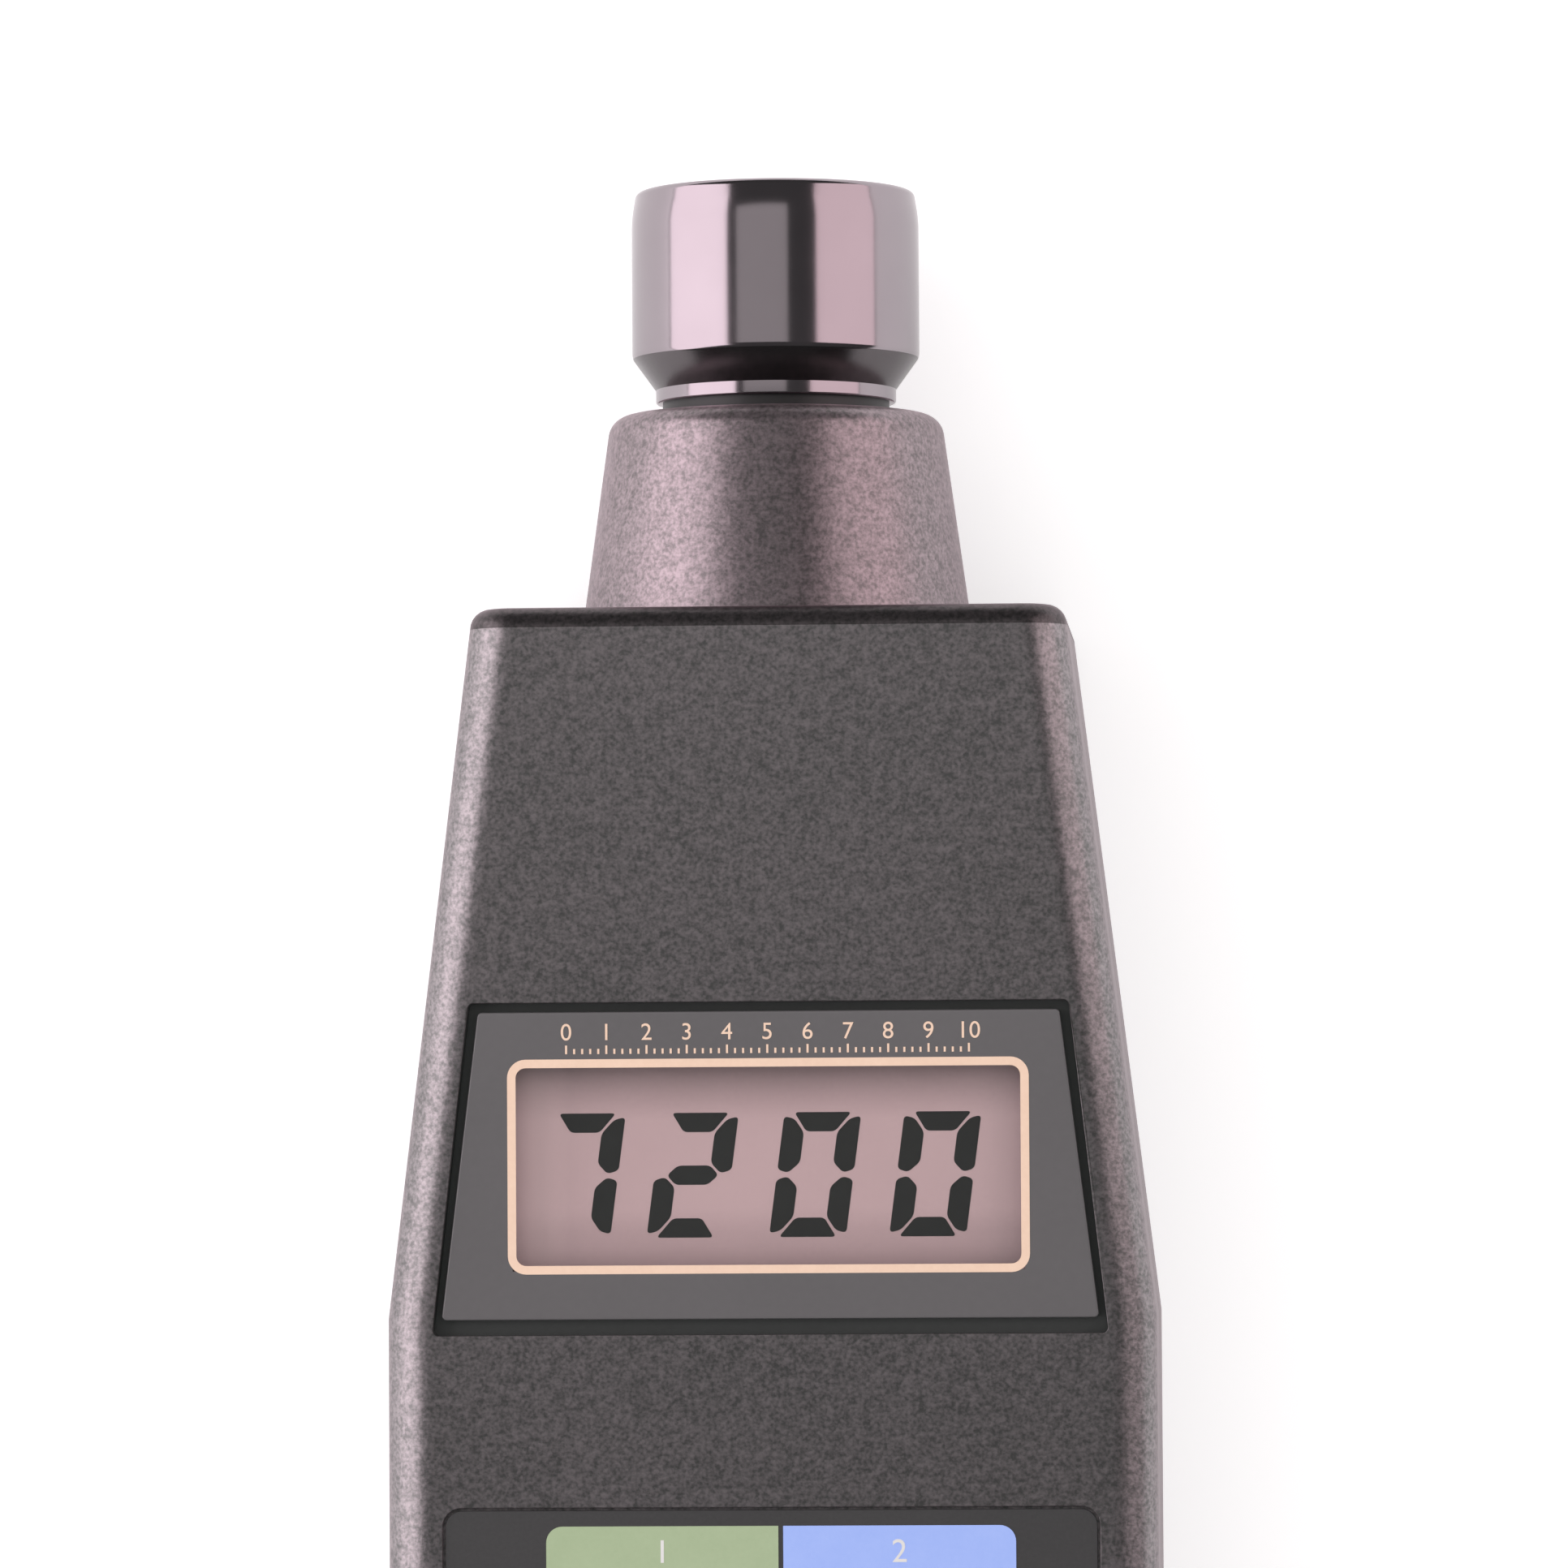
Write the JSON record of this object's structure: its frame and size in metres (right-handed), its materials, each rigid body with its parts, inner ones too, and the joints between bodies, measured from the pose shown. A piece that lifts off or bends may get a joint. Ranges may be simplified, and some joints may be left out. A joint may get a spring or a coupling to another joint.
{
  "type": "laser tachometer",
  "caption": "Handheld tachometer with a tapered black housing, a chromed lens collar on a round nose, a framed digital display, a range switch, a side button and a sliding battery door.",
  "frame": {"origin": "on the flat back, on the middle line and half way along the whole length", "axes": "+X to the right of the display, +Y along the length towards the nose, +Z out of the display; the instrument lies on its back"},
  "size_m": [0.0683, 0.215, 0.039],
  "materials": {
    "black_shell": "fine spark-eroded texture",
    "smooth_black": "satin",
    "button_grey": "satin",
    "chrome": "polished",
    "lens_glass": "coated",
    "window": "clear with a dark printed border",
    "lcd_glass": "matt polariser",
    "contact_rubber": "matt",
    "white_plastic": "satin",
    "board": "solder mask",
    "dark_resin": "matt",
    "sleeve_blue": "gloss",
    "brass": "turned",
    "steel": "plated",
    "battery_case": "gloss"
  },
  "bodies": {
    "housing": {"front_cover": "black_shell", "rear_cover": "black_shell", "nose_cone": "black_shell", "lock_ring": "chrome", "lens_collar": "chrome", "front_lens": "lens_glass", "lens_retainer": "smooth_black", "optics_holder": "smooth_black", "laser_module": "brass", "photodiode": "dark_resin", "sensor_board": "board", "sensor_screws": "steel", "display_window": "window", "lcd_frame": "white_plastic", "lcd_panel": "lcd_glass", "contact_strips": "contact_rubber", "main_board": "board", "processor": "dark_resin", "crystal": "steel", "capacitors": "sleeve_blue", "control_panel": "smooth_black", "slide_switch": "steel", "button_switch": "dark_resin", "battery": "battery_case", "battery_snap": "smooth_black", "case_screws": "steel", "board_screws": "steel"},
    "side_button": {"side_button": "button_grey", "button_plunger": "white_plastic"},
    "range_switch": {"switch_knob": "smooth_black", "switch_slider": "white_plastic"},
    "battery_door": {"battery_door": "black_shell"}
  },
  "joints": [
    {"name": "side_button_press", "type": "slide", "parent": "housing", "child": "side_button", "axis": [-1, 0, 0], "range_m": [0, 0.001], "stiffness_N_per_m": 800, "springref_m": -0.0005},
    {"name": "range_switch_slide", "type": "slide", "parent": "housing", "child": "range_switch", "axis": [1, 0, 0], "range_m": [0, 0.005]},
    {"name": "battery_door_slide", "type": "slide", "parent": "housing", "child": "battery_door", "axis": [0, -1, 0], "range_m": [0, 0.058]}
  ]
}
